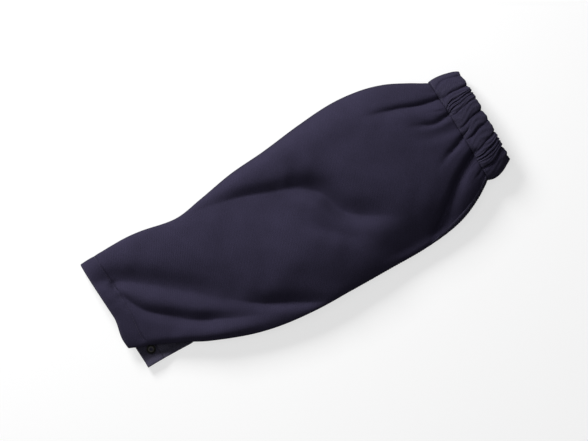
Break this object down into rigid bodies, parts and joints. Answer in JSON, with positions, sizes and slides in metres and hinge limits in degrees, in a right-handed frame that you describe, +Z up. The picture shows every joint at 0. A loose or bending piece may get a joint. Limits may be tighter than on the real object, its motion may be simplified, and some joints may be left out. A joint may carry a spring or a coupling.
{
  "type": "welding sleeve",
  "caption": "Cloth over-sleeve for the arm: a tapered cotton twill tube with an elastic casing at the upper arm and a hemmed, slit cuff with a snap, lying puffed up with its snap undone.",
  "frame": {"origin": "On the surface that the sleeve lies on, under the middle of its body.", "axes": "+X along the sleeve from the cuff to the elastic end, +Y away from the side seam and slit, +Z up from the surface."},
  "size_m": [0.5447, 0.223, 0.0446],
  "materials": {
    "twill": "dark navy flame-resistant cotton twill, matt, with a fine diagonal wale",
    "turned_twill": "the same twill turned and stitched, a little worn along its edges",
    "snap_metal": "dark gunmetal snap, satin, with bright worn rims"
  },
  "bodies": {
    "root": {"sleeve_body": "twill", "elastic_casing": "twill", "cuff_hem": "turned_twill", "side_seam": "turned_twill", "slit_facing_under": "turned_twill", "slit_facing_over": "turned_twill", "snap_cap": "snap_metal", "snap_socket": "snap_metal", "snap_stud": "snap_metal"}
  },
  "joints": []
}
